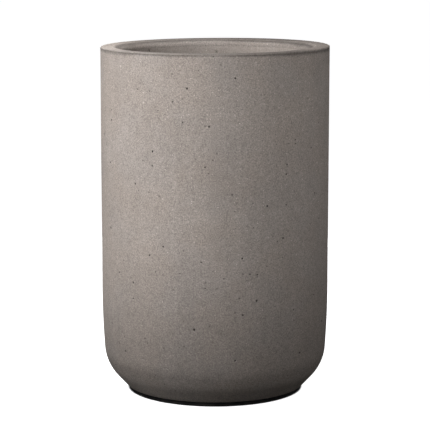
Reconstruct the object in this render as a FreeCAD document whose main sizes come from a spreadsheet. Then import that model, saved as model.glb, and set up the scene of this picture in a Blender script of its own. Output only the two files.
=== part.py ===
"""Round street planter: a precast concrete shell on a black steel plinth.

The shell is one casting with an open cavity, an eased rim, a rounded heel and a drained floor.
Wire hoops and uprights, lifting sockets, plinth sockets and the drain sleeve are cast into it.
The plinth is a rolled skirt and a ring plate, bolted up into a recess under the shell, and its
four levelling feet screw down through nuts on the plate. The frame is in millimetres, +Z up,
with its origin on the ground at the planter's axis.
"""

import FreeCAD, Part
import math
import os

import Sketcher
from FreeCAD import Placement, Rotation, Vector

os.makedirs("parts", exist_ok=True)
doc = FreeCAD.newDocument("street_planter")
sheet = doc.addObject("Spreadsheet::Sheet", "sizes")

SIZES = {
    # shell
    "outer_diameter": 600,
    "overall_height": 912,  # ground to rim
    "rim_width": 52,  # wall thickness at the rim
    "core_draft": 8,  # how much the cavity's radius shrinks from rim to floor
    "rim_outer_round": 3,
    "rim_inner_round": 20,
    "core_corner": 70,  # round between cavity wall and floor
    "base_thickness": 80,  # underside to the floor's edge
    "floor_fall": 4,  # towards the drain
    "seat_margin": 2,  # flat seat round the strainer's flange
    "seat_depth": 2,  # seat below the floor
    # heel: the rounded lower edge of the shell
    "lead_in_radius": 2400,  # first, gentle arc below the straight wall
    "lead_in_angle": 3.9,  # turn of that arc, degrees
    "heel_radius": 115,  # main arc
    "heel_angle": 43,  # slope at the end of the main arc, degrees from upright
    "heel_inset": 64,  # wall to the edge of the flat foot
    "foot_round": 2,
    "foot_land": 4,  # flat foot between heel and recess
    # plinth
    "plinth_gap": 12,  # plinth that shows under the concrete
    "recess_depth": 20,  # recess in the underside that takes the plinth
    "recess_clearance": 1.5,  # skirt to recess wall
    "skirt_thickness": 4,
    "skirt_edge_round": 1,
    "plate_thickness": 4,
    "plate_land": 40,  # fixing circle to the plate's bore
    "fixing_inset": 40.5,  # skirt's outside to the circle of bolts and feet
    "gasket_thickness": 2,
    "gasket_margin": 3,  # gasket inside the plate's edges
    # plinth bolts, M10, and the sockets cast in for them
    "bolt_count": 4,
    "bolt_diameter": 10,
    "bolt_length": 30,  # under the head
    "bolt_flats": 16,
    "bolt_head": 6.4,
    "bolt_hole_clearance": 1,  # on the diameter, in plate and gasket
    "washer_diameter": 20,
    "washer_thickness": 2,
    "washer_clearance": 0.5,  # on the diameter, round the bolt
    "thread_clearance": 0.1,  # on the diameter, between screw and thread
    "socket_diameter": 16,
    "socket_length": 40,
    "socket_end": 6,  # solid end of a socket, past its thread
    # lifting sockets in the floor, M12
    "lifting_count": 3,
    "lifting_start": 15,  # direction of the first one, degrees
    "lifting_inset": 40,  # fixing circle to the lifting circle
    "lifting_diameter": 20,
    "lifting_bore": 10.2,  # core diameter of the thread
    "lifting_cover": 8,  # concrete between socket and recess
    "lifting_flange_diameter": 34,
    "lifting_flange_thickness": 4,
    "former_diameter": 30,  # recess in the floor over a lifting socket
    "former_depth": 6,  # below the drain seat
    # levelling feet, M12
    "foot_count": 4,
    "foot_start": 45,  # direction of the first one, degrees
    "foot_ground_gap": 1,  # pad above the ground when screwed up
    "pad_diameter": 44,
    "pad_thickness": 8,
    "pad_edge": 1.5,
    "stud_diameter": 12,
    "stud_length": 46,  # above the pad
    "stud_point": 1,  # chamfer on the stud's top
    "stud_hole_clearance": 2,  # on the diameter, through plate and gasket
    "stud_headroom": 5,  # pocket above the stud's top
    "stud_pocket_clearance": 6,  # on the diameter, in the concrete
    "drive_margin": 2,  # hexagon's flats over the thread
    "drive_gap": 1,  # hexagon to nut
    "spigot_diameter": 8,  # end of the stud that turns in the pad
    "spigot_stop": 1,  # spigot's end above the pad's underside
    "shoulder_height": 3.5,  # counterbore under the pad, for the clip
    "shoulder_diameter": 16,
    "clip_thickness": 1,
    "clip_diameter": 13,
    "clip_groove": 0.5,  # depth of the groove in the spigot
    "running_clearance": 0.05,  # on the radius
    "end_play": 0.1,
    "nut_flats": 18,
    "nut_height": 10,
    # drain
    "sleeve_wall": 4,
    "sleeve_bore": 44,  # upper bore, for the strainer
    "ledge_width": 2,  # upper bore to lower bore, for a drain hose
    "ledge_gap": 4,  # strainer's spigot to the ledge
    "strainer_flange_diameter": 80,
    "strainer_flange_thickness": 2.5,
    "strainer_skin": 2,  # wall of spigot and dome
    "strainer_spigot_length": 20,
    "strainer_clearance": 0.3,  # on the radius, in the sleeve
    "dome_brim": 8,  # flange outside the dome
    "dome_height": 13.5,
    "slot_count": 12,
    "slot_width": 3,
    "slot_inner": 9,  # inner end of a slot, from the axis
    "slot_margin": 6,  # outer end of a slot, inside the dome's foot
    # reinforcement
    "wire_diameter": 5,
    "wire_cover": 17,  # concrete outside the hoops
    "wire_gap": 0.2,  # hoop to upright, for the tie
    "hoop_count": 6,
    "hoop_low": 120,  # height of the lowest hoop
    "hoop_below_rim": 32,
    "upright_count": 12,
    "upright_overrun": 10,  # upright past the end hoops
}

for row, (alias, value) in enumerate(SIZES.items(), start=1):
    sheet.set(f"A{row}", str(value))
    sheet.setAlias(f"A{row}", alias)
doc.recompute()

# Places that several pieces share, as expressions of the sheet.
OUTER_R = "(sizes.outer_diameter / 2)"
CAVITY_R = f"({OUTER_R} - sizes.rim_width)"
FOOT_R = f"({OUTER_R} - sizes.heel_inset)"
RECESS_R = f"({FOOT_R} - sizes.foot_land)"
SKIRT_R = f"({RECESS_R} - sizes.recess_clearance)"
FIXING_R = f"({SKIRT_R} - sizes.fixing_inset)"
LIFTING_R = f"({FIXING_R} - sizes.lifting_inset)"
PLATE_BORE_R = f"({FIXING_R} - sizes.plate_land)"
SLEEVE_R = "(sizes.sleeve_bore / 2 + sizes.sleeve_wall)"
FLANGE_R = "(sizes.strainer_flange_diameter / 2)"
SEAT_R = f"({FLANGE_R} + sizes.seat_margin)"
RECESS_TOP = "(sizes.plinth_gap + sizes.recess_depth)"
PLATE_TOP = f"({RECESS_TOP} - sizes.gasket_thickness)"
PLATE_BOTTOM = f"({PLATE_TOP} - sizes.plate_thickness)"
NUT_BOTTOM = f"({PLATE_BOTTOM} - sizes.nut_height)"
FLOOR_EDGE = "(sizes.plinth_gap + sizes.base_thickness)"
SEAT_TOP = f"({FLOOR_EDGE} - sizes.floor_fall - sizes.seat_depth)"
LIFTING_TOP = f"({SEAT_TOP} - sizes.former_depth)"
LIFTING_BOTTOM = f"({RECESS_TOP} + sizes.lifting_cover)"
SPIGOT_END = f"({SEAT_TOP} - sizes.strainer_spigot_length)"
PAD_BOTTOM = "sizes.foot_ground_gap"
PAD_TOP = f"({PAD_BOTTOM} + sizes.pad_thickness)"
STUD_TOP = f"({PAD_TOP} + sizes.stud_length)"
HOOP_TOP = "(sizes.overall_height - sizes.hoop_below_rim)"
HOOP_R = f"({OUTER_R} - sizes.wire_cover - sizes.wire_diameter / 2)"
UPRIGHT_R = f"({HOOP_R} - sizes.wire_diameter - sizes.wire_gap)"


def number(expression):
    """The value of an expression of the sheet."""
    return float(sheet.evalExpression(expression))


def new_body(name):
    body = doc.addObject("PartDesign::Body", name)
    body.Label = name
    return body


def origin_of(body, role):
    """One of the body's own origin planes or axes."""
    return next(f for f in body.Origin.OriginFeatures if f.Role == role)


def new_sketch(body, name, plane, height="0"):
    sketch = body.newObject("Sketcher::SketchObject", name)
    sketch.AttachmentSupport = (origin_of(body, plane), [""])
    sketch.MapMode = "FlatFace"
    sketch.setExpression("AttachmentOffset.Base.z", height)
    return sketch


def place_point(sketch, edge, point, x, y):
    """Fixes a sketch point at two expressions."""
    for kind, value in (("DistanceX", x), ("DistanceY", y)):
        if abs(number(value)) < 1e-9:
            axis = -2 if kind == "DistanceX" else -1
            sketch.addConstraint(Sketcher.Constraint("PointOnObject", edge, point, axis))
        else:
            datum = Sketcher.Constraint(kind, -1, 1, edge, point, number(value))
            index = sketch.addConstraint(datum)
            sketch.setExpression(f"Constraints[{index}]", value)


def outline(body, name, corners, plane="XZ_Plane", height="0"):
    """A closed sketch through its corners (x, y), in expressions.

    A corner with a third value starts an arc of that radius: the arc turns left where the
    fourth value is "left" and right where it is "right".
    """
    sketch = new_sketch(body, name, plane, height)
    points = [Vector(number(c[0]), number(c[1]), 0) for c in corners]
    edges = []
    for i, corner in enumerate(corners):
        start, end = points[i], points[(i + 1) % len(points)]
        if len(corner) == 2:
            edges.append((sketch.addGeometry(Part.LineSegment(start, end)), 1, 2))
            continue
        left = corner[3] == "left"
        first, last = (start, end) if left else (end, start)
        half = (last - first) * 0.5
        radius = number(corner[2])
        rise = math.sqrt(radius**2 - half.Length**2)
        centre = first + half + Vector(-half.y, half.x, 0) * (rise / half.Length)
        angles = [math.atan2(p.y - centre.y, p.x - centre.x) for p in (first, last)]
        circle = Part.Circle(centre, Vector(0, 0, 1), radius)
        edge = sketch.addGeometry(Part.ArcOfCircle(circle, *angles))
        index = sketch.addConstraint(Sketcher.Constraint("Radius", edge, radius))
        sketch.setExpression(f"Constraints[{index}]", corner[2])
        edges.append((edge, 1, 2) if left else (edge, 2, 1))
    for i, (edge, start, end) in enumerate(edges):
        following, its_start, _ = edges[(i + 1) % len(edges)]
        joined = Sketcher.Constraint("Coincident", edge, end, following, its_start)
        sketch.addConstraint(joined)
        place_point(sketch, edge, start, corners[i][0], corners[i][1])
    return sketch


def turned(body, name, corners):
    """A solid turned about the body's Z axis."""
    solid = body.newObject("PartDesign::Revolution", name)
    solid.Profile = outline(body, name + "_profile", corners)
    solid.ReferenceAxis = (origin_of(body, "Z_Axis"), [""])
    solid.Angle = 360
    body.Tip = solid
    return solid


def raised(body, name, sketch, low, high, cut=False):
    """A Pad, or a Pocket where cut is true, from a sketch at low up to high."""
    kind = "PartDesign::Pocket" if cut else "PartDesign::Pad"
    solid = body.newObject(kind, name)
    solid.Profile = sketch
    solid.Reversed = cut
    solid.setExpression("Length", f"{high} - {low}")
    body.Tip = solid
    doc.recompute()
    if cut and solid.Shape.Volume >= solid.BaseFeature.Shape.Volume:
        raise RuntimeError(f"{body.Label}: {name} cuts nothing")
    return solid


def round_solid(body, name, diameter, low, high, reach="0", angle="0", bore=None, cut=False):
    """A cylinder, tube or round cut from low to high, at a reach and direction from Z."""
    sketch = new_sketch(body, name + "_circle", "XY_Plane", low)
    for size in [diameter] + ([bore] if bore else []):
        x, y = f"{reach} * cos({angle})", f"{reach} * sin({angle})"
        centre = Vector(number(x), number(y), 0)
        circle = Part.Circle(centre, Vector(0, 0, 1), number(size) / 2)
        edge = sketch.addGeometry(circle)
        index = sketch.addConstraint(Sketcher.Constraint("Diameter", edge, number(size)))
        sketch.setExpression(f"Constraints[{index}]", size)
        place_point(sketch, edge, 3, x, y)
    return raised(body, name, sketch, low, high, cut)


def hexagon(body, name, flats, low, high, reach="0", bore=None):
    """A hexagonal prism with its centre on the X axis, with a round bore if one is given."""
    corner_r = f"({flats} / sqrt(3))"
    corners = [
        (f"{reach} + {corner_r} * cos({60 * i})", f"{corner_r} * sin({60 * i})")
        for i in range(6)
    ]
    sketch = outline(body, name + "_hexagon", corners, "XY_Plane", low)
    solids = [raised(body, name, sketch, low, high)]
    if bore:
        solids.append(round_solid(body, name + "_bore", bore, low, high, reach, cut=True))
    return solids


def ring_of(body, features, count):
    """Repeats features round the Z axis."""
    pattern = body.newObject("PartDesign::PolarPattern", body.Label + "_ring")
    pattern.Originals = features
    pattern.Axis = (origin_of(body, "Z_Axis"), [""])
    pattern.Angle = 360
    pattern.setExpression("Occurrences", count)
    body.Tip = pattern
    return pattern


def turn_body(body, angle):
    """Turns a whole body about the Z axis."""
    body.Placement = Placement(Vector(), Rotation(Vector(0, 0, 1), number(angle)))
    body.setExpression("Placement.Rotation.Angle", angle)


def circle_edges(shape, radius, height):
    """Names of the full circles of a radius at a height."""
    found = []
    for index, edge in enumerate(shape.Edges, start=1):
        curve = edge.Curve
        if isinstance(curve, Part.Circle) and abs(curve.Radius - radius) < 0.01:
            if abs(curve.Center.z - height) < 0.01:
                found.append(f"Edge{index}")
    return found


def rounded(body, name, circles, radius):
    """A fillet on the circles at each (radius, height)."""
    doc.recompute()
    base = body.Tip
    edges = []
    for circle_radius, height in circles:
        edges += circle_edges(base.Shape, number(circle_radius), number(height))
    fillet = body.newObject("PartDesign::Fillet", name)
    fillet.Base = (base, edges)
    fillet.setExpression("Radius", radius)
    body.Tip = fillet
    return fillet


def planter_shell():
    """The casting: profile, rounds, then the pockets that the cast-in pieces leave."""
    lead_drop = "(sizes.lead_in_radius * sin(sizes.lead_in_angle))"
    lead_in = "(sizes.lead_in_radius * (1 - cos(sizes.lead_in_angle)))"
    heel_drop = "(sizes.heel_radius * (sin(sizes.heel_angle) - sin(sizes.lead_in_angle)))"
    heel_in = "(sizes.heel_radius * (cos(sizes.lead_in_angle) - cos(sizes.heel_angle)))"
    slope_in = f"(sizes.heel_inset - {lead_in} - {heel_in})"
    slope_top = f"(sizes.plinth_gap + {slope_in} / tan(sizes.heel_angle))"
    heel_top = f"({slope_top} + {heel_drop})"
    body = new_body("planter_shell")
    cavity_foot_r = f"({CAVITY_R} - sizes.core_draft)"
    turned(
        body,
        "casting",
        [
            (SLEEVE_R, RECESS_TOP),
            (RECESS_R, RECESS_TOP),
            (RECESS_R, "sizes.plinth_gap"),
            (FOOT_R, "sizes.plinth_gap"),
            (f"{FOOT_R} + {slope_in}", slope_top, "sizes.heel_radius", "left"),
            (f"{OUTER_R} - {lead_in}", heel_top, "sizes.lead_in_radius", "left"),
            (OUTER_R, f"{heel_top} + {lead_drop}"),
            (OUTER_R, "sizes.overall_height"),
            (CAVITY_R, "sizes.overall_height"),
            (cavity_foot_r, FLOOR_EDGE),
            (SEAT_R, f"{SEAT_TOP} + sizes.seat_depth"),
            (SEAT_R, SEAT_TOP),
            (SLEEVE_R, SEAT_TOP),
        ],
    )
    rim = "sizes.overall_height"
    rounded(body, "rim_outer_round", [(OUTER_R, rim)], "sizes.rim_outer_round")
    rounded(body, "rim_inner_round", [(CAVITY_R, rim)], "sizes.rim_inner_round")
    rounded(body, "core_corner", [(cavity_foot_r, FLOOR_EDGE)], "sizes.core_corner")
    rounded(body, "foot_round", [(FOOT_R, "sizes.plinth_gap")], "sizes.foot_round")

    socket_top = f"({RECESS_TOP} + sizes.socket_length)"
    pocket = round_solid(
        body, "plinth_socket_pocket", "sizes.socket_diameter", RECESS_TOP, socket_top,
        FIXING_R, cut=True,
    )
    ring_of(body, [pocket], "sizes.bolt_count")
    pocket = round_solid(
        body, "stud_pocket", "sizes.stud_diameter + sizes.stud_pocket_clearance",
        RECESS_TOP, f"({STUD_TOP} + sizes.stud_headroom)", FIXING_R, "sizes.foot_start",
        cut=True,
    )
    ring_of(body, [pocket], "sizes.foot_count")
    flange_top = f"({LIFTING_BOTTOM} + sizes.lifting_flange_thickness)"
    place = (LIFTING_R, "sizes.lifting_start")
    pockets = [
        round_solid(
            body, "former", "sizes.former_diameter", LIFTING_TOP, FLOOR_EDGE, *place,
            cut=True,
        ),
        round_solid(
            body, "lifting_pocket", "sizes.lifting_diameter", LIFTING_BOTTOM, LIFTING_TOP,
            *place, cut=True,
        ),
        round_solid(
            body, "flange_pocket", "sizes.lifting_flange_diameter", LIFTING_BOTTOM,
            flange_top, *place, cut=True,
        ),
    ]
    ring_of(body, pockets, "sizes.lifting_count")
    return body


def reinforcement():
    """Welded wire in the middle of the wall: hoops outside, uprights inside."""
    hoops = new_body("reinforcement_hoops")
    sketch = new_sketch(hoops, "wire", "XZ_Plane")
    centre = Vector(number(HOOP_R), number("sizes.hoop_low"), 0)
    wire_r = number("sizes.wire_diameter / 2")
    edge = sketch.addGeometry(Part.Circle(centre, Vector(0, 0, 1), wire_r))
    index = sketch.addConstraint(Sketcher.Constraint("Radius", edge, wire_r))
    sketch.setExpression(f"Constraints[{index}]", "sizes.wire_diameter / 2")
    place_point(sketch, edge, 3, HOOP_R, "sizes.hoop_low")
    hoop = hoops.newObject("PartDesign::Revolution", "hoop")
    hoop.Profile = sketch
    hoop.ReferenceAxis = (origin_of(hoops, "Z_Axis"), [""])
    hoop.Angle = 360
    stack = hoops.newObject("PartDesign::LinearPattern", "hoop_stack")
    stack.Originals = [hoop]
    stack.Direction = (origin_of(hoops, "Z_Axis"), [""])
    stack.setExpression("Length", f"{HOOP_TOP} - sizes.hoop_low")
    stack.setExpression("Occurrences", "sizes.hoop_count")
    hoops.Tip = stack

    uprights = new_body("reinforcement_uprights")
    upright = round_solid(
        uprights, "upright", "sizes.wire_diameter",
        "(sizes.hoop_low - sizes.upright_overrun)", f"({HOOP_TOP} + sizes.upright_overrun)",
        UPRIGHT_R,
    )
    ring_of(uprights, [upright], "sizes.upright_count")
    return [hoops, uprights]


def lifting_sockets():
    """Threaded tubes with an anchor flange, for three eye bolts."""
    body = new_body("lifting_sockets")
    place = (LIFTING_R, "sizes.lifting_start")
    flange_top = f"({LIFTING_BOTTOM} + sizes.lifting_flange_thickness)"
    thread_bottom = f"({LIFTING_BOTTOM} + sizes.socket_end)"
    flange = round_solid(
        body, "flange", "sizes.lifting_flange_diameter", LIFTING_BOTTOM, flange_top, *place
    )
    tube = round_solid(
        body, "tube", "sizes.lifting_diameter", flange_top, LIFTING_TOP, *place
    )
    thread = round_solid(
        body, "thread", "sizes.lifting_bore", thread_bottom, LIFTING_TOP, *place, cut=True
    )
    ring_of(body, [flange, tube, thread], "sizes.lifting_count")
    return body


def plinth_sockets():
    """Threaded inserts cast into the recess, for the plinth bolts."""
    body = new_body("plinth_sockets")
    top = f"({RECESS_TOP} + sizes.socket_length)"
    tube = round_solid(body, "insert", "sizes.socket_diameter", RECESS_TOP, top, FIXING_R)
    thread = round_solid(
        body, "thread", "sizes.bolt_diameter + sizes.thread_clearance", RECESS_TOP,
        f"({top} - sizes.socket_end)", FIXING_R, cut=True,
    )
    ring_of(body, [tube, thread], "sizes.bolt_count")
    return body


def plinth_skirt():
    """Flat bar rolled into a ring and welded under the plate."""
    body = new_body("plinth_skirt")
    inside = f"({SKIRT_R} - sizes.skirt_thickness)"
    corners = [(inside, "0"), (SKIRT_R, "0"), (SKIRT_R, PLATE_BOTTOM), (inside, PLATE_BOTTOM)]
    turned(body, "rolled_bar", corners)
    rounded(body, "edge_rounds", [(inside, "0"), (SKIRT_R, "0")], "sizes.skirt_edge_round")
    return body


def holed_ring(name, outer, inner, low, high):
    """A flat ring with the bolt holes and stud holes that plate and gasket share."""
    body = new_body(name)
    round_solid(body, "ring", f"2 * {outer}", low, high, bore=f"2 * {inner}")
    bolt = "sizes.bolt_diameter + sizes.bolt_hole_clearance"
    hole = round_solid(body, "bolt_hole", bolt, low, high, FIXING_R, cut=True)
    ring_of(body, [hole], "sizes.bolt_count")
    stud = "sizes.stud_diameter + sizes.stud_hole_clearance"
    hole = round_solid(
        body, "stud_hole", stud, low, high, FIXING_R, "sizes.foot_start", cut=True
    )
    ring_of(body, [hole], "sizes.foot_count")
    return body


def plinth_plate():
    return holed_ring("plinth_plate", SKIRT_R, PLATE_BORE_R, PLATE_BOTTOM, PLATE_TOP)


def plinth_gasket():
    outer = f"({SKIRT_R} - sizes.gasket_margin)"
    inner = f"({PLATE_BORE_R} + sizes.gasket_margin)"
    return holed_ring("plinth_gasket", outer, inner, PLATE_TOP, RECESS_TOP)


def plinth_fasteners():
    """Hexagon bolts and washers that hold the plinth up into its sockets."""
    washers = new_body("plinth_washers")
    washer_bottom = f"({PLATE_BOTTOM} - sizes.washer_thickness)"
    washer = round_solid(
        washers, "washer", "sizes.washer_diameter", washer_bottom, PLATE_BOTTOM, FIXING_R,
        bore="sizes.bolt_diameter + sizes.washer_clearance",
    )
    ring_of(washers, [washer], "sizes.bolt_count")
    bolts = new_body("plinth_bolts")
    head_bottom = f"({washer_bottom} - sizes.bolt_head)"
    features = hexagon(bolts, "head", "sizes.bolt_flats", head_bottom, washer_bottom, FIXING_R)
    shank_top = f"({washer_bottom} + sizes.bolt_length)"
    features.append(
        round_solid(bolts, "shank", "sizes.bolt_diameter", washer_bottom, shank_top, FIXING_R)
    )
    ring_of(bolts, features, "sizes.bolt_count")
    return [washers, bolts]


def levelling_nuts():
    """Hexagon nuts welded under the plate, one over each foot."""
    body = new_body("levelling_nuts")
    bore = "sizes.stud_diameter + 2 * sizes.running_clearance"
    nut = hexagon(body, "nut", "sizes.nut_flats", NUT_BOTTOM, PLATE_BOTTOM, FIXING_R, bore)
    ring_of(body, nut, "sizes.foot_count")
    turn_body(body, "sizes.foot_start")
    return body


def place_foot(body, index):
    """Moves a piece made on the Z axis out to its place in the ring of feet."""
    angle = f"(sizes.foot_start + 360 * {index} / sizes.foot_count)"
    body.setExpression("Placement.Base.x", f"{FIXING_R} * cos({angle})")
    body.setExpression("Placement.Base.y", f"{FIXING_R} * sin({angle})")


def levelling_foot(index):
    """One foot: a pad, a threaded stud that turns in it, and the clip that holds them."""
    label = index + 1
    shoulder = f"({PAD_BOTTOM} + sizes.shoulder_height)"
    shoulder_r = "(sizes.shoulder_diameter / 2)"
    spigot_r = "(sizes.spigot_diameter / 2)"
    pad_r = "(sizes.pad_diameter / 2)"
    pad_bore_r = f"({spigot_r} + sizes.running_clearance)"
    pad = new_body(f"levelling_pad_{label}")
    turned(
        pad,
        "pad",
        [
            (shoulder_r, PAD_BOTTOM),
            (f"{pad_r} - sizes.pad_edge", PAD_BOTTOM),
            (pad_r, f"{PAD_BOTTOM} + sizes.pad_edge"),
            (pad_r, f"{PAD_TOP} - sizes.pad_edge"),
            (f"{pad_r} - sizes.pad_edge", PAD_TOP),
            (pad_bore_r, PAD_TOP),
            (pad_bore_r, shoulder),
            (shoulder_r, shoulder),
        ],
    )

    clip_top = f"({shoulder} - sizes.end_play)"
    clip_bottom = f"({clip_top} - sizes.clip_thickness)"
    groove_r = f"({spigot_r} - sizes.clip_groove)"
    groove_bottom = f"({clip_bottom} - sizes.end_play)"
    drive_bottom = f"({PAD_TOP} + sizes.end_play)"
    drive_top = f"({NUT_BOTTOM} - sizes.drive_gap)"
    drive_flats = "(sizes.stud_diameter + sizes.drive_margin)"
    stud_r = "(sizes.stud_diameter / 2)"
    spigot_end = f"({PAD_BOTTOM} + sizes.spigot_stop)"
    stud = new_body(f"levelling_stud_{label}")
    turned(
        stud,
        "stud",
        [
            ("0", spigot_end),
            (spigot_r, spigot_end),
            (spigot_r, groove_bottom),
            (groove_r, groove_bottom),
            (groove_r, shoulder),
            (spigot_r, shoulder),
            (spigot_r, drive_bottom),
            (stud_r, drive_bottom),
            (stud_r, f"{STUD_TOP} - sizes.stud_point"),
            (f"{stud_r} - sizes.stud_point", STUD_TOP),
            ("0", STUD_TOP),
        ],
    )
    hexagon(stud, "drive", drive_flats, drive_bottom, drive_top)

    clip = new_body(f"levelling_clip_{label}")
    clip_bore = f"2 * ({groove_r} + sizes.running_clearance)"
    round_solid(clip, "clip", "sizes.clip_diameter", clip_bottom, clip_top, bore=clip_bore)
    for body in (pad, stud, clip):
        place_foot(body, index)
    return [pad, stud, clip]


def drain_sleeve():
    """Cast-in tube: the strainer plugs in above, a drain hose below."""
    body = new_body("drain_sleeve")
    ledge = f"({SPIGOT_END} - sizes.ledge_gap)"
    upper_r = "(sizes.sleeve_bore / 2)"
    lower_r = f"({upper_r} - sizes.ledge_width)"
    turned(
        body,
        "sleeve",
        [
            (lower_r, RECESS_TOP),
            (SLEEVE_R, RECESS_TOP),
            (SLEEVE_R, SEAT_TOP),
            (upper_r, SEAT_TOP),
            (upper_r, ledge),
            (lower_r, ledge),
        ],
    )
    return body


def cap_radius(half_width, height):
    """The radius of an arc that rises by height over half its width."""
    return f"(({half_width} ^ 2 + {height} ^ 2) / (2 * {height}))"


def drain_strainer():
    """Push-in strainer with a slotted dome, which lifts out for cleaning."""
    body = new_body("drain_strainer")
    spigot_r = "(sizes.sleeve_bore / 2 - sizes.strainer_clearance)"
    inside_r = f"({spigot_r} - sizes.strainer_skin)"
    flange_top = f"({SEAT_TOP} + sizes.strainer_flange_thickness)"
    dome_r = f"({FLANGE_R} - sizes.dome_brim)"
    hollow_r = f"({dome_r} - 2 * sizes.strainer_skin)"
    hollow_height = "(sizes.dome_height - sizes.strainer_skin)"
    turned(
        body,
        "strainer",
        [
            (inside_r, SPIGOT_END),
            (spigot_r, SPIGOT_END),
            (spigot_r, SEAT_TOP),
            (FLANGE_R, SEAT_TOP),
            (FLANGE_R, flange_top),
            (dome_r, flange_top, cap_radius(dome_r, "sizes.dome_height"), "left"),
            ("0", f"{flange_top} + sizes.dome_height"),
            (
                "0", f"{flange_top} + {hollow_height}",
                cap_radius(hollow_r, hollow_height), "right",
            ),
            (hollow_r, flange_top),
            (inside_r, flange_top),
        ],
    )
    half = "sizes.slot_width / 2"
    slot_end = f"({dome_r} - sizes.slot_margin)"
    corners = [
        ("sizes.slot_inner", f"-{half}"),
        (slot_end, f"-{half}"),
        (slot_end, half),
        ("sizes.slot_inner", half),
    ]
    sketch = outline(body, "slot_outline", corners, "XY_Plane", flange_top)
    top = f"({flange_top} + sizes.dome_height)"
    slot = raised(body, "slot", sketch, flange_top, top, cut=True)
    ring_of(body, [slot], "sizes.slot_count")
    return body


def check(pieces):
    """Stops if any object failed or any piece is not a valid solid."""
    doc.recompute()
    for item in doc.Objects:
        if "Invalid" in item.State or "Error" in item.State:
            raise RuntimeError(f"{item.Label} failed: {item.State}")
    for piece in pieces:
        if piece.Shape.isNull() or not piece.Shape.isValid() or not piece.Shape.Solids:
            raise RuntimeError(f"{piece.Label} is not a valid solid")


pieces = [planter_shell(), *reinforcement(), lifting_sockets(), plinth_sockets()]
pieces += [plinth_skirt(), plinth_plate(), plinth_gasket(), *plinth_fasteners()]
pieces += [levelling_nuts(), drain_sleeve(), drain_strainer()]
for foot in range(int(number("sizes.foot_count"))):
    pieces += levelling_foot(foot)
check(pieces)
for piece in pieces:
    piece.Shape.exportStep(f"parts/{piece.Label}.step")
    print(f"{piece.Label}: {len(piece.Shape.Solids)} solid(s), {piece.Shape.Volume:.0f} mm3")
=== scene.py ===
"""Round street planter in cast concrete on a black recessed plinth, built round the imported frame.

Lengths are in metres, +Z is up and the planter's axis is the frame's Z axis. The sections follow
the planter as it is put together: shell, cast-in steel, drain, plinth, levelling feet.
"""

import math
import random

import bmesh
import bpy
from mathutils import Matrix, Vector, noise
from mathutils.geometry import delaunay_2d_cdt


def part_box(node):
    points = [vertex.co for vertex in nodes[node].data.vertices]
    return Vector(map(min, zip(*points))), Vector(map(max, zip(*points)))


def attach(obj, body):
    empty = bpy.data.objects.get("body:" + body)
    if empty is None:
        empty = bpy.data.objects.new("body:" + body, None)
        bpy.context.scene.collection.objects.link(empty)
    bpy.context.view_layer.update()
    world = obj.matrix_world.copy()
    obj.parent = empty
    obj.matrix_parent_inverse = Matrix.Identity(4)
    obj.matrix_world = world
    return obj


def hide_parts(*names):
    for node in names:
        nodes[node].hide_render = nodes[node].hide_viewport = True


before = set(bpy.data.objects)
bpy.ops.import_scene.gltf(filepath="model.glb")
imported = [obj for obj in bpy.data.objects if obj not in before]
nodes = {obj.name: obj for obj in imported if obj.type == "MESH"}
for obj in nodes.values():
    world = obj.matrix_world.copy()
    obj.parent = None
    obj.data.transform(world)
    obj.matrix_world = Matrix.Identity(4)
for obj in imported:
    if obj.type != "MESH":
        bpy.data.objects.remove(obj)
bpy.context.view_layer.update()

# ---------------------------------------------------------------------------------------------
# Planter shell: one casting of fine grey-brown concrete, poured upside down in a smooth mould.
# Air bubbles trapped against the mould leave open pores on every face, and the rim's outer edge is
# slightly chipped from handling.

shell_low, shell_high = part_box("planter_shell")
outer_r = shell_high.x
rim_top = shell_high.z
underside = shell_low.z
wall = 0.052
cavity_r = outer_r - wall
cavity_foot_r = cavity_r - 0.008
floor_edge = underside + 0.080
floor_fall = 0.004
seat_r = 0.042
seat_top = floor_edge - floor_fall - 0.002
sleeve_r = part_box("drain_sleeve")[1].x
recess_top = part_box("plinth_gasket")[1].z
foot_r = outer_r - 0.064
recess_r = foot_r - 0.004
fixing_r = 0.190
former_r = 0.015
lifting_low, lifting_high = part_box("lifting_sockets")
lifting_r = 0.150
lifting_angles = [math.radians(15 + 120 * i) for i in range(3)]
foot_angles = [math.radians(45 + 90 * i) for i in range(4)]
bolt_angles = [math.radians(90 * i) for i in range(4)]
AROUND = 200

shell_mesh = bmesh.new()
dice = random.Random(73)


def arc(centre_r, centre_z, radius, start, end, steps):
    """Points (r, z) on an arc, angles in degrees from +r towards +z, its first point left out."""
    points = []
    for k in range(1, steps + 1):
        angle = math.radians(start + (end - start) * k / steps)
        points.append((centre_r + radius * math.cos(angle), centre_z + radius * math.sin(angle)))
    return points


def run(start, end, steps):
    """Evenly spaced points on a straight run, its first point left out."""
    return [
        (start[0] + (end[0] - start[0]) * k / steps, start[1] + (end[1] - start[1]) * k / steps)
        for k in range(1, steps + 1)
    ]


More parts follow.
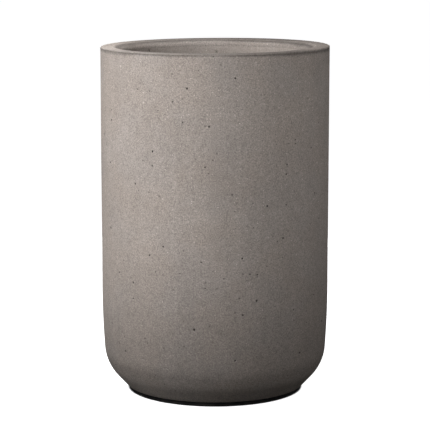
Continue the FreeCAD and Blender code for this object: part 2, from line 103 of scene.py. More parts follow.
def heel():
    """Foot to wall: the foot's small round, the slope, the main arc and the long lead-in arc."""
    lead_r, lead_degrees = 2.400, 3.9
    main_r, slope_degrees = 0.115, 43
    lead_turn, slope = math.radians(lead_degrees), math.radians(slope_degrees)
    lead_in = lead_r * (1 - math.cos(lead_turn))
    main_in = main_r * (math.cos(lead_turn) - math.cos(slope))
    slope_in = outer_r - foot_r - lead_in - main_in
    slope_top = underside + slope_in / math.tan(slope)
    main_z = slope_top + main_r * math.sin(slope)
    lead_z = main_z + (lead_r - main_r) * math.sin(lead_turn)
    main_centre_r = outer_r - lead_in - main_r * math.cos(lead_turn)
    foot_round = 0.002
    reach = foot_round * math.tan((math.pi / 2 - slope) / 2)
    points = [(foot_r - reach, underside)]
    points += arc(foot_r - reach, underside + foot_round, foot_round, -90, -slope_degrees, 3)
    points += run(points[-1], (foot_r + slope_in, slope_top), 5)
    points += arc(main_centre_r, main_z, main_r, -slope_degrees, -lead_degrees, 10)
    points += arc(outer_r - lead_r, lead_z, lead_r, -lead_degrees, 0, 18)
    return points


def ring(r, z):
    """One row of vertices round the axis, with the mould's slow unevenness and its tilted rim."""
    row = []
    level_up_to, rim_slope = 0.5, 0.006
    tilt = rim_slope * max(0.0, z - level_up_to) / (rim_top - level_up_to)
    for k in range(AROUND):
        angle = math.tau * k / AROUND
        x, y = r * math.cos(angle), r * math.sin(angle)
        out = 1 + 0.00035 * noise.noise(Vector((x * 5, y * 5, z * 4))) / r
        row.append(shell_mesh.verts.new((x * out, y * out, z + tilt * x)))
    return row


def skin(rows):
    """Quads between neighbouring rows."""
    return [
        shell_mesh.faces.new((low[k], low[(k + 1) % AROUND], high[(k + 1) % AROUND], high[k]))
        for low, high in zip(rows, rows[1:])
        for k in range(AROUND)
    ]


def chip_edge(row, deepest, seed):
    """Small broken places along one arris: vertices pushed in and down."""
    for vertex in row:
        bite = noise.noise(Vector((vertex.co.x * 45, vertex.co.y * 45, seed)))
        bite = max(0.0, bite - 0.25)
        inward = Vector((vertex.co.x, vertex.co.y, 0)).normalized()
        vertex.co -= (inward + Vector((0, 0, 1))) * deepest * bite


def smooth_face(outer_rim, inner_rims, height, facing_up):
    """A nearly flat face inside one rim of vertices and round the others."""
    rims = [outer_rim] + inner_rims
    owners = [(vertex, number) for number, rim in enumerate(rims) for vertex in rim]
    flat = [vertex.co.xy for vertex, _ in owners]
    edges, start = [], 0
    for rim in rims:
        edges += [(start + k, start + (k + 1) % len(rim)) for k in range(len(rim))]
        start += len(rim)
    holes = []
    for rim in inner_rims:
        middle = sum((vertex.co.xy for vertex in rim), Vector((0, 0))) / len(rim)
        holes.append((middle, (rim[0].co.xy - middle).length))
    spacing = 0.010
    reach = outer_rim[0].co.xy.length
    steps = int(reach / spacing)
    for i in range(-steps, steps + 1):
        for j in range(-steps, steps + 1):
            loose = (i + dice.uniform(-0.25, 0.25), j + dice.uniform(-0.25, 0.25))
            point = Vector(loose) * spacing
            clear = all((point - middle).length > r + spacing / 2 for middle, r in holes)
            if clear and point.length < reach - spacing / 2:
                flat.append(point)
    points, _, triangles, sources, _, _ = delaunay_2d_cdt(flat, edges, [], 0, 1e-7)
    made, rim_number = [], []
    for point, source in zip(points, sources):
        if source and source[0] < len(owners):
            vertex, number = owners[source[0]]
        else:
            vertex, number = shell_mesh.verts.new((*point, height(point.length))), -1
        made.append(vertex)
        rim_number.append(number)
    for triangle in triangles:
        touched = {rim_number[k] for k in triangle}
        in_a_hole = len(touched) == 1 and touched.pop() > 0
        if not in_a_hole:
            corners = [made[k] for k in triangle]
            shell_mesh.faces.new(corners if facing_up else corners[::-1])


def pocket(x, y, steps, height=None, opens_up=True):
    """A blind round pocket: (radius, z) from its mouth to its far end. Returns the mouth's rim."""
    count, rows = 32, []
    for number, (radius, z) in enumerate(steps):
        row = []
        for k in range(count):
            angle = math.tau * k / count
            px, py = x + radius * math.cos(angle), y + radius * math.sin(angle)
            on_face = height and number == 0
            pz = height(math.hypot(px, py)) if on_face else z
            row.append(shell_mesh.verts.new((px, py, pz)))
        rows.append(row)
    loops = [
        [low[k], low[(k + 1) % count], high[(k + 1) % count], high[k]]
        for low, high in zip(rows, rows[1:])
        for k in range(count)
    ]
    for loop in loops + [rows[-1]]:
        shell_mesh.faces.new(loop if opens_up else loop[::-1])
    return rows[0]


def open_pore(face, radius, depth):
    """Cuts an air bubble's round pit into one four-sided face."""
    corners = list(face.verts)
    face.normal_update()
    out = face.normal.copy()
    across = (corners[1].co - corners[0].co).normalized()
    along = out.cross(across)
    room = min((corners[1].co - corners[0].co).length, (corners[3].co - corners[0].co).length)
    stray = max(0.0, room * 0.42 - radius)
    centre = face.calc_center_median()
    centre += across * dice.uniform(-stray, stray) + along * dice.uniform(-stray, stray)
    first = corners[0].co - centre
    turn = math.atan2(first.dot(along), first.dot(across))
    lean, stretch = dice.uniform(0, math.pi), dice.uniform(0, 0.22)
    wobble = [dice.uniform(0.92, 1.08) for _ in range(12)]
    rings = []
    for share, drop in ((1, 0), (0.88, 0.45), (0.55, 0.9)):
        row = []
        for k in range(12):
            angle = turn + math.tau * k / 12
            size = radius * share * wobble[k] * (1 + stretch * math.cos(2 * (angle - lean)))
            spot = across * math.cos(angle) + along * math.sin(angle)
            row.append(shell_mesh.verts.new(centre + spot * size - out * depth * drop))
        rings.append(row)
    bottom = shell_mesh.verts.new(centre - out * depth)
    shell_mesh.faces.remove(face)
    rim = rings[0]
    for k in range(4):
        here, following = corners[k], corners[(k + 1) % 4]
        side = [rim[(3 * k + step) % 12] for step in range(4)]
        shell_mesh.faces.new((here, side[1], side[0]))
        shell_mesh.faces.new((here, following, side[2], side[1]))
        shell_mesh.faces.new((following, side[3], side[2]))
    for upper, lower in zip(rings, rings[1:]):
        for k in range(12):
            loop = (upper[k], upper[(k + 1) % 12], lower[(k + 1) % 12], lower[k])
            shell_mesh.faces.new(loop).material_index = PORE
    for k in range(12):
        loop = (rings[-1][k], rings[-1][(k + 1) % 12], bottom)
        shell_mesh.faces.new(loop).material_index = PORE


def floor_height(r):
    """The cavity floor, which falls towards the drain seat."""
    return seat_top + 0.002 + floor_fall * (r - seat_r) / (cavity_foot_r - seat_r)


def ceiling_height(r):
    """The top of the underside recess, which is level."""
    return recess_top


def pepper(faces, count, smallest, largest):
    """Opens pores in random faces, more of them where a slow noise is high."""
    left = count
    for face in dice.sample(faces, len(faces)):
        crowd = noise.noise(face.calc_center_median() * 7)
        if left and face.calc_area() > 4 * largest**2 and dice.random() < 0.5 + crowd:
            radius = smallest + (largest - smallest) * dice.random() ** 2
            open_pore(face, radius, radius * dice.uniform(1.2, 2.0))
            left -= 1


MOULD, CORE, PORE = range(3)
rim_round, lip_round = 0.003, 0.020
outside = heel()
outside += run(outside[-1], (outer_r, rim_top - rim_round), 74)
rim = arc(outer_r - rim_round, rim_top - rim_round, rim_round, 0, 90, 4)
rim += run(rim[-1], (cavity_r + lip_round, rim_top), 4)
rim += arc(cavity_r + lip_round, rim_top - lip_round, lip_round, 90, 180, 7)

# The cavity's wall leans in by its draft, and a round joins it to the sloping floor.
draft = math.atan((cavity_r - cavity_foot_r) / (rim_top - floor_edge))
fall = math.atan(floor_fall / (cavity_foot_r - seat_r))
corner_r = 0.070
corner_reach = corner_r * math.tan((math.pi / 2 - draft - fall) / 2)
corner_top_r = cavity_foot_r + corner_reach * math.sin(draft)
corner_top_z = floor_edge + corner_reach * math.cos(draft)
corner_centre = (
    corner_top_r - corner_r * math.cos(draft),
    corner_top_z + corner_r * math.sin(draft),
)
inside = run(rim[-1], (corner_top_r, corner_top_z), 76)
inside += arc(*corner_centre, corner_r, -math.degrees(draft), math.degrees(fall) - 90, 11)

outside_rows = [ring(*point) for point in outside]
rim_rows = outside_rows[-1:] + [ring(*point) for point in rim]
inside_rows = rim_rows[-1:] + [ring(*point) for point in inside]
chip_edge(rim_rows[1], 0.002, 3.0)
chip_edge(rim_rows[2], 0.004, 3.0)
chip_edge(rim_rows[3], 0.002, 3.0)
outside_faces = skin(outside_rows)
rim_faces = skin(rim_rows)
inside_faces = skin(inside_rows)
for face in inside_faces:
    face.material_index = CORE

# Floor with three former recesses over the lifting sockets, the drain seat and the drain hole.
lifting_top, lifting_bottom = lifting_high.z, lifting_low.z
tube_r, flange_r, flange_top = 0.010, 0.017, lifting_bottom + 0.004
formers = [
    pocket(
        lifting_r * math.cos(angle),
        lifting_r * math.sin(angle),
        [
            (former_r, None), (former_r - 0.0005, lifting_top), (tube_r, lifting_top),
            (tube_r, flange_top), (flange_r, flange_top), (flange_r, lifting_bottom),
        ],
        floor_height,
    )
    for angle in lifting_angles
]
seat_rows = [ring(seat_r, seat_top + 0.002), ring(seat_r, seat_top), ring(sleeve_r, seat_top)]
smooth_face(inside_rows[-1], formers + seat_rows[:1], floor_height, facing_up=True)

# Underside: the recess for the plinth, with pockets for its sockets and for the levelling studs.
stud_pocket_r, stud_pocket_end = 0.009, 0.060
socket_r, socket_length = 0.008, 0.040
stud_pockets = [
    pocket(
        fixing_r * math.cos(angle), fixing_r * math.sin(angle),
        [(stud_pocket_r, recess_top), (stud_pocket_r, stud_pocket_end)], opens_up=False,
    )
    for angle in foot_angles
]
socket_pockets = [
    pocket(
        fixing_r * math.cos(angle), fixing_r * math.sin(angle),
        [(socket_r, recess_top), (socket_r, recess_top + socket_length)], opens_up=False,
    )
    for angle in bolt_angles
]
hole_foot = ring(sleeve_r, recess_top)
recess_rows = [ring(recess_r, recess_top), ring(recess_r, underside)]
smooth_face(
    recess_rows[0], stud_pockets + socket_pockets + [hole_foot], ceiling_height, facing_up=False
)
skin(seat_rows + [hole_foot])
skin(recess_rows + outside_rows[:1])

pepper(outside_faces, 210, 0.0012, 0.0026)
pepper([face for face in outside_faces if face.is_valid], 260, 0.0006, 0.0011)
pepper(inside_faces, 170, 0.0009, 0.0026)
pepper([face for face in rim_faces if face.calc_area() > 3e-5], 26, 0.0007, 0.0014)

for face in shell_mesh.faces:
    face.smooth = True
    if face.calc_center_median().z < floor_edge and face.material_index == MOULD:
        if face.calc_center_median().xy.length < cavity_foot_r - corner_r + 0.002:
            face.material_index = CORE
SHARP = math.radians(35)
for edge in shell_mesh.edges:
    edge.smooth = edge.is_manifold and edge.calc_face_angle() < SHARP
shell_data = bpy.data.meshes.new("planter_shell_cast")
shell_mesh.to_mesh(shell_data)
shell_mesh.free()
shell = bpy.data.objects.new("planter_shell_cast", shell_data)
bpy.context.collection.objects.link(shell)


def add(tree, kind, inputs=None, **settings):
    """A node with its settings, and its inputs as values or as sockets to link."""
    made = tree.nodes.new(kind)
    for name, value in settings.items():
        setattr(made, name, value)
    for name, value in (inputs or {}).items():
        if isinstance(value, bpy.types.NodeSocket):
            tree.links.new(value, made.inputs[name])
        else:
            made.inputs[name].default_value = value
    return made


def new_finish(name, colour, roughness, metallic=0.0, specular=0.5):
    """A new material, its shader, and the place on the piece that its patterns read."""
    material = bpy.data.materials.new(name)
    material.use_nodes = True
    material.diffuse_color = (*colour, 1)
    tree = material.node_tree
    shader = tree.nodes["Principled BSDF"]
    shader.inputs["Base Color"].default_value = (*colour, 1)
    shader.inputs["Roughness"].default_value = roughness
    shader.inputs["Metallic"].default_value = metallic
    shader.inputs["Specular IOR Level"].default_value = specular
    place = add(tree, "ShaderNodeTexCoord").outputs["Object"]
    return material, tree, shader, place


def maths(tree, operation, *values, clamp=False):
    """The result of one sum on values or sockets."""
    inputs = dict(enumerate(values))
    return add(tree, "ShaderNodeMath", inputs, operation=operation, use_clamp=clamp).outputs[0]


def cloud(tree, place, scale, detail=3.0, rough=0.55, stretch=(1, 1, 1)):
    """Soft noise from 0 to 1 with a middle of 0.5."""
    if stretch != (1, 1, 1):
        place = add(tree, "ShaderNodeMapping", {"Vector": place, "Scale": stretch}).outputs[0]
    inputs = {"Vector": place, "Scale": scale, "Detail": detail, "Roughness": rough}
    return add(tree, "ShaderNodeTexNoise", inputs).outputs["Fac"]


def between(tree, value, low, high, at_low=0.0, at_high=1.0):
    """Where value lies from low to high, clamped, smoothed and scaled to two end values."""
    inputs = {
        "Value": value, "From Min": low, "From Max": high, "To Min": at_low, "To Max": at_high,
    }
    return add(tree, "ShaderNodeMapRange", inputs, interpolation_type="SMOOTHSTEP").outputs[0]


def tinted(tree, tone, source, amount, middle=0.5):
    """tone times 1 + amount x (source - middle)."""
    off = maths(tree, "SUBTRACT", source, middle)
    return maths(tree, "MULTIPLY", tone, maths(tree, "MULTIPLY_ADD", off, amount, 1.0))


def speckle(tree, place, scale, kept, radius, seed):
    """Round spots: 1 inside a spot, in the share of cells kept, and 0 elsewhere."""
    moved = add(tree, "ShaderNodeVectorMath", {0: place, 1: (seed, seed, seed)}).outputs[0]
    cells = add(tree, "ShaderNodeTexVoronoi", {"Vector": moved, "Scale": scale})
    draw = add(tree, "ShaderNodeSeparateColor", {"Color": cells.outputs["Color"]})
    chosen = maths(tree, "LESS_THAN", draw.outputs["Red"], kept)
    full = radius * scale
    size = maths(tree, "MULTIPLY_ADD", draw.outputs["Green"], full * 0.6, full * 0.4)
    depth = maths(tree, "DIVIDE", maths(tree, "SUBTRACT", size, cells.outputs["Distance"]), size)
    return maths(tree, "MULTIPLY", maths(tree, "MULTIPLY", depth, 3.0, clamp=True), chosen)


def paint(tree, shader, colour, tone):
    """Base colour: one colour times a varying tone."""
    scaled = add(tree, "ShaderNodeVectorMath", {0: colour, "Scale": tone}, operation="SCALE")
    tree.links.new(scaled.outputs[0], shader.inputs["Base Color"])


def relief(tree, shader, height, depth, strength=1.0):
    """Bump from a height of 0 to 1 that stands for the given depth."""
    inputs = {"Height": height, "Distance": depth, "Strength": strength}
    bump = add(tree, "ShaderNodeBump", inputs)
    tree.links.new(bump.outputs[0], shader.inputs["Normal"])


def concrete(name, cement, start_tone, grain_amount, aged):
    """Cement skin: cloudy tone, fine grain, bright sand, pinholes painted dark as their shade; aged
    adds its own tones.
    """
    material, tree, shader, place = new_finish(name, cement, 0.86, specular=0.3)
    along = add(tree, "ShaderNodeSeparateXYZ", {"Vector": place}).outputs
    grain = cloud(tree, place, 320, 3.0, 0.75)
    tone = tinted(tree, start_tone, cloud(tree, place, 4.2), 0.24)
    tone = tinted(tree, tone, cloud(tree, place, 19, 4.0, 0.6), 0.22)
    tone = tinted(tree, tone, cloud(tree, place, 1.4, 3.0, 0.5, (20, 20, 1)), 0.10)
    tone = tinted(tree, tone, cloud(tree, place, 75, 3.0, 0.6), 0.30)
    tone = tinted(tree, tone, grain, grain_amount)
    high = between(tree, along["Z"], 0.28, 0.60, 0.10, 0.42)
    sand = speckle(tree, place, 150, high, 0.0018, 0.0)
    tone = tinted(tree, tone, sand, 0.62, 0.0)
    # Pinholes: dark spots painted in as the shade inside them, also dented by the bump.
    pinhole_shade = speckle(tree, place, 120, 0.34, 0.0013, 5.0)
    tone = tinted(tree, tone, pinhole_shade, -0.62, 0.0)
    tone = aged(tree, place, along, tone)
    drift = between(tree, cloud(tree, place, 7, 2.0), 0.35, 0.65)
    warm = (cement[0] * 1.02, cement[1], cement[2] * 0.98, 1)
    hue = add(
        tree, "ShaderNodeMix", {"Factor": drift, 6: (*cement, 1), 7: warm}, data_type="RGBA"
    )
    paint(tree, shader, hue.outputs[2], tone)
    rough = between(tree, cloud(tree, place, 60), 0.3, 0.7, 0.80, 0.92)
    tree.links.new(rough, shader.inputs["Roughness"])
    relief(tree, shader, maths(tree, "SUBTRACT", grain, pinhole_shade), 0.0006, 0.7)
    return material


def outdoors(tree, place, along, tone):
    """Dark band under the rim's edge, painted shade low on the wall, painted light on the foot, rim
    top with painted light and shade, knocked rim.
    """
    # A dark band just under the rim's edge, wider towards the two sides.
    side = maths(tree, "ABSOLUTE", along["X"])
    width = maths(tree, "MULTIPLY_ADD", side, 0.030, 0.004)
    width = tinted(tree, width, cloud(tree, place, 14, 2.0), 1.6)
    edge = rim_top - rim_round
    below = maths(tree, "DIVIDE", maths(tree, "SUBTRACT", edge, along["Z"]), width)
    line = maths(
        tree, "MULTIPLY", between(tree, below, 0.0, 1.0, 1.0, 0.0), between(tree, below, -0.3, 0.1)
    )
    tone = tinted(tree, tone, line, -0.58, 0.0)
    # Painted shade: the wall darkened from just above the foot, fading out upward by 0.42 m, where
    # less light reaches the lower wall.
    painted_low_shade = maths(
        tree, "MULTIPLY",
        between(tree, along["Z"], 0.062, 0.085), between(tree, along["Z"], 0.11, 0.42, 1.0, 0.0),
    )
    tone = tinted(tree, tone, painted_low_shade, -0.20, 0.0)
    # Painted light: the lowest 60 mm lightened in place of light thrown up from the floor.
    painted_foot_light = between(tree, along["Z"], underside, underside + 0.060, 1.0, 0.0)
    tone = tinted(tree, tone, painted_foot_light, 0.55, 0.0)
    # Painted light and shade: the rim's flat top darker at front and back and lighter at the two
    # sides, as the light falls on it.
    painted_rim_light = between(tree, side, 0.18, 0.28, -0.34, 0.12)
    flat = between(tree, along["Z"], rim_top - 0.0025, rim_top - 0.0008)
    tone = tinted(tree, tone, maths(tree, "MULTIPLY", painted_rim_light, flat), 1.0, 0.0)
    knocks = between(tree, cloud(tree, place, 34, 4.0, 0.65), 0.60, 0.66)
    arris = between(tree, along["Z"], rim_top - 0.006, rim_top - 0.001)
    return tinted(tree, tone, maths(tree, "MULTIPLY", knocks, arris), 0.22, 0.0)


def potted(tree, place, along, tone):
    """The inside: a faint old soil line, lime below it and brown silt on the floor."""
    wander = maths(tree, "MULTIPLY_ADD", cloud(tree, place, 9, 3.0), 0.05, along["Z"])
    below = between(tree, wander, 0.655, 0.675, 1.0, 0.0)
    tone = tinted(tree, tone, below, -0.17, 0.0)
    bloom = between(tree, cloud(tree, place, 11, 5.0, 0.6), 0.52, 0.62)
    lime = maths(tree, "MULTIPLY", below, bloom)
    tone = tinted(tree, tone, lime, 0.16, 0.0)
    silt = maths(
        tree, "MULTIPLY",
        between(tree, along["Z"], floor_edge + 0.01, floor_edge + 0.09, 1.0, 0.0),
        between(tree, cloud(tree, place, 8, 5.0, 0.62), 0.36, 0.62),
    )
    return tinted(tree, tone, silt, -0.45, 0.0)


def hollow(tree, place, along, tone):
    """Pores add no marks of their own; their dark tone is painted shade."""
    return tone


CEMENT = (0.267, 0.2365, 0.2155)
shell_data.materials.append(concrete("cast concrete, mould face", CEMENT, 1.0, 2.1, outdoors))
shell_data.materials.append(concrete("cast concrete, core face", CEMENT, 1.25, 1.3, potted))
# The pits' faces are painted dark (tone 0.22) as the shade inside them.
shell_data.materials.append(concrete("cast concrete, pores with painted shade", CEMENT, 0.22, 1.2, hollow))
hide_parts("planter_shell")
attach(shell, "planter")


def dress(material, *names):
    """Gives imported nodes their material."""
    for name in names:
        data = nodes[name].data
        data.materials.clear()
        data.materials.append(material)


# ---------------------------------------------------------------------------------------------
# Cast-in steel: a cage of hoops and uprights in drawn wire, and three threaded lifting sockets.
# The cage is buried in the wall; the sockets show at the bottom of the three former recesses.

BARE_WIRE = (0.11, 0.085, 0.07)
wire, tree, shader, place = new_finish("drawn wire", BARE_WIRE, 0.6, metallic=0.7)
scale = cloud(tree, place, 160, 4.0, 0.7)
paint(tree, shader, BARE_WIRE, tinted(tree, 1.0, scale, 1.1))
relief(tree, shader, scale, 0.0003)
dress(wire, "reinforcement_hoops", "reinforcement_uprights")


def zinc(name, bright, dulled):
    """Zinc plate: brushed sheen, spangled tone, dull bloom in patches and fine scratches."""
    colour = (bright, bright, bright * 1.02)
    material, tree, shader, place = new_finish(name, colour, 0.4, metallic=1.0)
    spangle = cloud(tree, place, 320, 3.0, 0.6)
    bloom = between(tree, cloud(tree, place, 55, 5.0, 0.65), 0.5, 0.66)
    scratches = between(tree, cloud(tree, place, 90, 2.0, 0.5, (1, 9, 3)), 0.60, 0.68)
    tone = tinted(tree, 1.0, spangle, 0.5)
    tone = tinted(tree, tone, bloom, -dulled, 0.0)
    paint(tree, shader, colour, tinted(tree, tone, scratches, 0.18, 0.0))
    rough = maths(tree, "MULTIPLY_ADD", bloom, 0.30, 0.30)
    tree.links.new(rough, shader.inputs["Roughness"])
    metal = maths(tree, "MULTIPLY_ADD", bloom, -0.45, 1.0)
    tree.links.new(metal, shader.inputs["Metallic"])
    relief(tree, shader, maths(tree, "SUBTRACT", spangle, scratches), 0.00015, 0.6)
    return material


dress(zinc("zinc, cast-in sockets", 0.42, 0.45), "lifting_sockets", "plinth_sockets")

# ---------------------------------------------------------------------------------------------
# Drain: a moulded grey plastic sleeve cast into the floor and a loose black domed strainer that
# lifts out of it, both filmed brown by soil water.


def moulded(name, colour, roughness, film):
    """Moulded plastic: fine eggshell texture, scuffs, and a thin film of dirt."""
    material, tree, shader, place = new_finish(name, colour, roughness, specular=0.45)
    eggshell = cloud(tree, place, 700, 2.0, 0.5)
    scuffs = between(tree, cloud(tree, place, 130, 3.0, 0.6, (1, 6, 2)), 0.60, 0.70)
    dirt = between(tree, cloud(tree, place, 34, 5.0, 0.65), 0.40, 0.68)
    tone = tinted(tree, 1.0, cloud(tree, place, 12), 0.25)
    tone = tinted(tree, tone, scuffs, 0.5, 0.0)
    cover = maths(tree, "MULTIPLY", dirt, film)
    soil = (0.105, 0.086, 0.066, 1)
    coated = add(
        tree, "ShaderNodeMix", {"Factor": cover, 6: (*colour, 1), 7: soil}, data_type="RGBA"
    )
    paint(tree, shader, coated.outputs[2], tone)
    rough = maths(tree, "MULTIPLY_ADD", dirt, 0.3, roughness)
    tree.links.new(rough, shader.inputs["Roughness"])
    relief(tree, shader, maths(tree, "ADD", eggshell, dirt), 0.00012, 0.6)
    return material


dress(moulded("grey drain plastic", (0.105, 0.110, 0.115), 0.45, 0.45), "drain_sleeve")
dress(moulded("black strainer plastic", (0.017, 0.017, 0.018), 0.38, 0.40), "drain_strainer")

# ---------------------------------------------------------------------------------------------
# Plinth: a ring of rolled steel skirt welded under a flat ring plate and powder coated black. It
# sits in the shell's recess on a rubber gasket and four zinc bolts hold it up from below.

COATING = (0.0075, 0.0075, 0.0078)
coat, tree, shader, place = new_finish("black powder coat", COATING, 0.5, specular=0.4)
peel = cloud(tree, place, 420, 2.0, 0.5)
dusty = between(tree, cloud(tree, place, 26, 5.0, 0.6), 0.45, 0.72)
low_down = add(tree, "ShaderNodeSeparateXYZ", {"Vector": place}).outputs["Z"]
splash = maths(tree, "MULTIPLY", dusty, between(tree, low_down, 0.0, 0.022, 0.9, 0.15))
scratched = between(tree, cloud(tree, place, 60, 2.0, 0.4, (1, 1, 14)), 0.64, 0.70)
dust_colour = add(
    tree, "ShaderNodeMix",
    {"Factor": maths(tree, "MULTIPLY", splash, 0.10), 6: (*COATING, 1), 7: (0.16, 0.14, 0.12, 1)},
    data_type="RGBA",
)
paint(tree, shader, dust_colour.outputs[2], tinted(tree, 1.0, scratched, 0.6, 0.0))
tree.links.new(maths(tree, "MULTIPLY_ADD", dusty, 0.35, 0.42), shader.inputs["Roughness"])
relief(tree, shader, peel, 0.00025, 0.5)
dress(coat, "plinth_skirt", "plinth_plate")

# The weld that joins skirt and plate, inside: one rippled bead right round.
skirt_r = recess_r - 0.0015
skirt_inner = skirt_r - 0.004
BEAD_R = 0.0020
bead_mesh, bead_rows = bmesh.new(), []
for k in range(600):
    angle = math.tau * k / 600
    ripple = 0.00012 * math.sin(k * 2.1) + 0.00025 * noise.noise(Vector((k * 0.07, 0, 0)))
    row = []
    for step in range(8):
        turned = math.tau * step / 8
        r = skirt_inner - 0.0004 + (BEAD_R + ripple) * math.cos(turned)
        z = recess_top - 0.0064 + (BEAD_R + ripple) * math.sin(turned)
        row.append(bead_mesh.verts.new((r * math.cos(angle), r * math.sin(angle), z)))
    bead_rows.append(row)
for k, row in enumerate(bead_rows):
    following = bead_rows[(k + 1) % 600]
    for step in range(8):
        after = (step + 1) % 8
        loop = (row[step], following[step], following[after], row[after])
        bead_mesh.faces.new(loop).smooth = True
bead_data = bpy.data.meshes.new("plinth_weld")
bead_mesh.to_mesh(bead_data)
bead_mesh.free()
bead_data.materials.append(coat)
bead = bpy.data.objects.new("plinth_weld", bead_data)
bpy.context.collection.objects.link(bead)
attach(bead, "planter")

GASKET = (0.018, 0.018, 0.018)
rubber, tree, shader, place = new_finish("gasket rubber", GASKET, 0.8, specular=0.35)
crumb = cloud(tree, place, 300, 4.0, 0.7)
paint(tree, shader, GASKET, tinted(tree, 1.0, crumb, 1.2))
tree.links.new(between(tree, crumb, 0.3, 0.7, 0.65, 0.95), shader.inputs["Roughness"])
relief(tree, shader, crumb, 0.0004, 0.8)
dress(rubber, "plinth_gasket")

dress(zinc("zinc, fixings", 0.50, 0.38), "plinth_washers", "plinth_bolts", "levelling_nuts")

# ---------------------------------------------------------------------------------------------
# Levelling feet: four turned zinc studs in welded nuts, each clipped into a black nylon pad. The
# pads take the planter's weight and are dusty and scuffed where they meet the ground.

pad_nylon = moulded("pad nylon", (0.030, 0.030, 0.031), 0.55, 0.35)
dress(pad_nylon, *[f"levelling_pad_{i}" for i in range(1, 5)])
stud_zinc = zinc("zinc, levelling studs", 0.52, 0.32)
THREAD_PITCH, THREAD_DEPTH = 0.00175, 0.0009


def turn(mesh, x, y, points, count, pitch=0.0):
    """A closed turned solid through points (r, z), bottom to top; a pitch cuts a thread in it."""
    rows = []
    for r, z in points:
        row = []
        for k in range(count):
            cut = abs(2 * ((z / pitch - k / count) % 1) - 1) * THREAD_DEPTH if pitch else 0.0
            angle = math.tau * k / count
            spot = (x + (r - cut) * math.cos(angle), y + (r - cut) * math.sin(angle), z)
            row.append(mesh.verts.new(spot))
        rows.append(row)
    for low, high in zip(rows, rows[1:]):
        for k in range(count):
            mesh.faces.new((low[k], low[(k + 1) % count], high[(k + 1) % count], high[k]))
    mesh.faces.new(rows[0][::-1])
    mesh.faces.new(rows[-1])


for i, angle in enumerate(foot_angles, 1):
    x, y = fixing_r * math.cos(angle), fixing_r * math.sin(angle)
    stud_low, stud_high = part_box(f"levelling_stud_{i}")
    end, top = stud_low.z, stud_high.z
    stud_mesh = bmesh.new()
    spigot_r, groove_r = 0.004, 0.0035
    spigot = [
        (groove_r, end), (spigot_r, end + 0.0005), (spigot_r, end + 0.0013),
        (groove_r, end + 0.0013), (groove_r, end + 0.0025), (spigot_r, end + 0.0025),
        (spigot_r, end + 0.0071),
    ]
    turn(stud_mesh, x, y, spigot, 32)
    drive_r = 0.007 / math.cos(math.radians(30))
    eased_r = drive_r - 0.0006
    drive = [(eased_r, 0), (drive_r, 0.0005), (drive_r, 0.0054), (eased_r, 0.0059)]
    turn(stud_mesh, x, y, [(r, end + 0.0071 + z) for r, z in drive], 6)
    thread_start = end + 0.013
    steps = int((top - thread_start) / THREAD_PITCH * 6)
    thread = [(0.006, thread_start + THREAD_PITCH * k / 6) for k in range(steps)]
    turn(stud_mesh, x, y, thread + [(0.0056, top - 0.0004), (0.0052, top)], 30, THREAD_PITCH)
    stud_data = bpy.data.meshes.new(f"levelling_stud_{i}_cut")
    stud_mesh.to_mesh(stud_data)
    stud_mesh.free()
    stud_data.materials.append(stud_zinc)
    stud = bpy.data.objects.new(f"levelling_stud_{i}_cut", stud_data)
    bpy.context.collection.objects.link(stud)
    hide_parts(f"levelling_stud_{i}")
    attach(stud, f"foot_stud_{i}")

spring = zinc("spring steel clips", 0.30, 0.25)
dress(spring, *[f"levelling_clip_{i}" for i in range(1, 5)])

# ---------------------------------------------------------------------------------------------
# Stage: a wide pale floor, soft boxes round the planter and above it, low bounce cards at the
# left and in front, and a camera a little above the rim's height.

floor_data = bpy.data.meshes.new("studio_floor")
FLOOR_HALF = 45
floor_data.from_pydata(
    [(x, y, 0) for x, y in ((-1, -1), (1, -1), (1, 1), (-1, 1))], [], [(0, 1, 2, 3)]
)
floor = bpy.data.objects.new("studio_floor", floor_data)
floor.scale = (FLOOR_HALF, FLOOR_HALF, 1)
bpy.context.collection.objects.link(floor)
PALE = (0.82, 0.82, 0.82)
pale, tree, shader, place = new_finish("pale floor", PALE, 0.8, specular=0.2)
paint(tree, shader, PALE, tinted(tree, 1.0, cloud(tree, place, 900), 0.02))
shader.inputs["Emission Color"].default_value = (1, 1, 1, 1)
# The floor glows white, except a dark disc under the plinth, which is painted in as its contact
# shadow.
reach = add(tree, "ShaderNodeVectorMath", {0: place}, operation="LENGTH").outputs["Value"]
from_axis = maths(tree, "MULTIPLY", reach, FLOOR_HALF)
glow_with_painted_shadow = between(tree, from_axis, skirt_r + 0.0003, skirt_r + 0.0043, 0.0, 1.0)
tree.links.new(glow_with_painted_shadow, shader.inputs["Emission Strength"])
floor_data.materials.append(pale)
floor.visible_diffuse = floor.visible_glossy = False


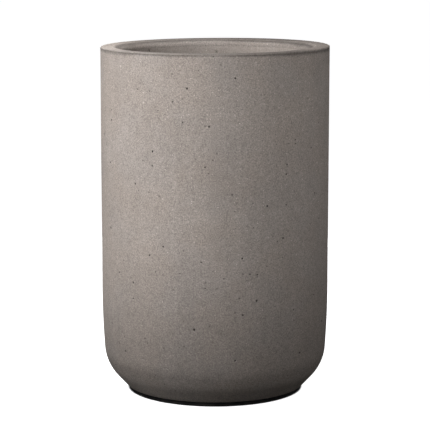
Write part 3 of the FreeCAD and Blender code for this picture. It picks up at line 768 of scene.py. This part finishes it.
def softbox(name, place, target, width, height, power):
    """A rectangular soft light that faces a point."""
    lamp = bpy.data.lights.new(name, "AREA")
    lamp.shape = "RECTANGLE"
    lamp.size, lamp.size_y, lamp.energy = width, height, power
    light = bpy.data.objects.new(name, lamp)
    light.location = place
    facing = Vector(target) - Vector(place)
    light.rotation_euler = facing.to_track_quat("-Z", "Y").to_euler()
    light.visible_camera = False
    bpy.context.collection.objects.link(light)


softbox("key", (-1.106, -0.774, 0.8), (0, 0, 0.80), 0.7, 0.6, 5.9)
softbox("front_left", (-0.794, -1.092, 0.88), (0, 0, 0.88), 0.7, 0.6, 7.0)
softbox("front_right", (0.571, -1.224, 1.02), (0, 0, 1.02), 0.7, 0.6, 3.5)
softbox("right", (1.169, -0.675, 0.8), (0, 0, 0.80), 0.7, 0.6, 1.9)
softbox("far_front", (-0.832, -3.913, 1.6), (0, 0, 0.50), 1.5, 1.5, 18.5)
softbox("right_edge", (1.674, 0.295, 0.75), (0, 0, 0.65), 0.9, 0.8, 3.8)
softbox("overhead_left", (-0.9, -0.3, 2.4), (0, 0, 0.9), 1.0, 1.0, 35.4)
softbox("bounce_left", (-0.95, -0.2, 0.01), (-0.95, -0.2, 1.0), 0.9, 1.6, 6.0)
softbox("bounce_front", (0.0, -1.0, 0.01), (0.0, -1.0, 1.0), 1.8, 1.0, 2.2)
softbox("rim_left", (-0.29, -0.02, 1.20), (-0.27, -0.02, 0.91), 0.16, 0.22, 1.5)
softbox("behind", (0.0, 2.4, 0.45), (0, 0, 0.45), 2.4, 0.8, 16)

world = bpy.data.worlds.new("studio")
bpy.context.scene.world = world
world.use_nodes = True
world.node_tree.nodes["Background"].inputs["Color"].default_value = (1, 1, 1, 1)
world.node_tree.nodes["Background"].inputs["Strength"].default_value = 0.01
bpy.context.scene.view_settings.view_transform = "Standard"

camera_data = bpy.data.cameras.new("camera")
camera = bpy.data.objects.new("camera", camera_data)
camera.location = (0, -5.099, rim_top + 0.371)
camera.rotation_euler = (math.pi / 2 - 0.1595, 0, 0)
camera_data.lens = 162.88
camera_data.clip_end = 200
bpy.context.collection.objects.link(camera)
bpy.context.scene.camera = camera

bpy.context.view_layer.update()
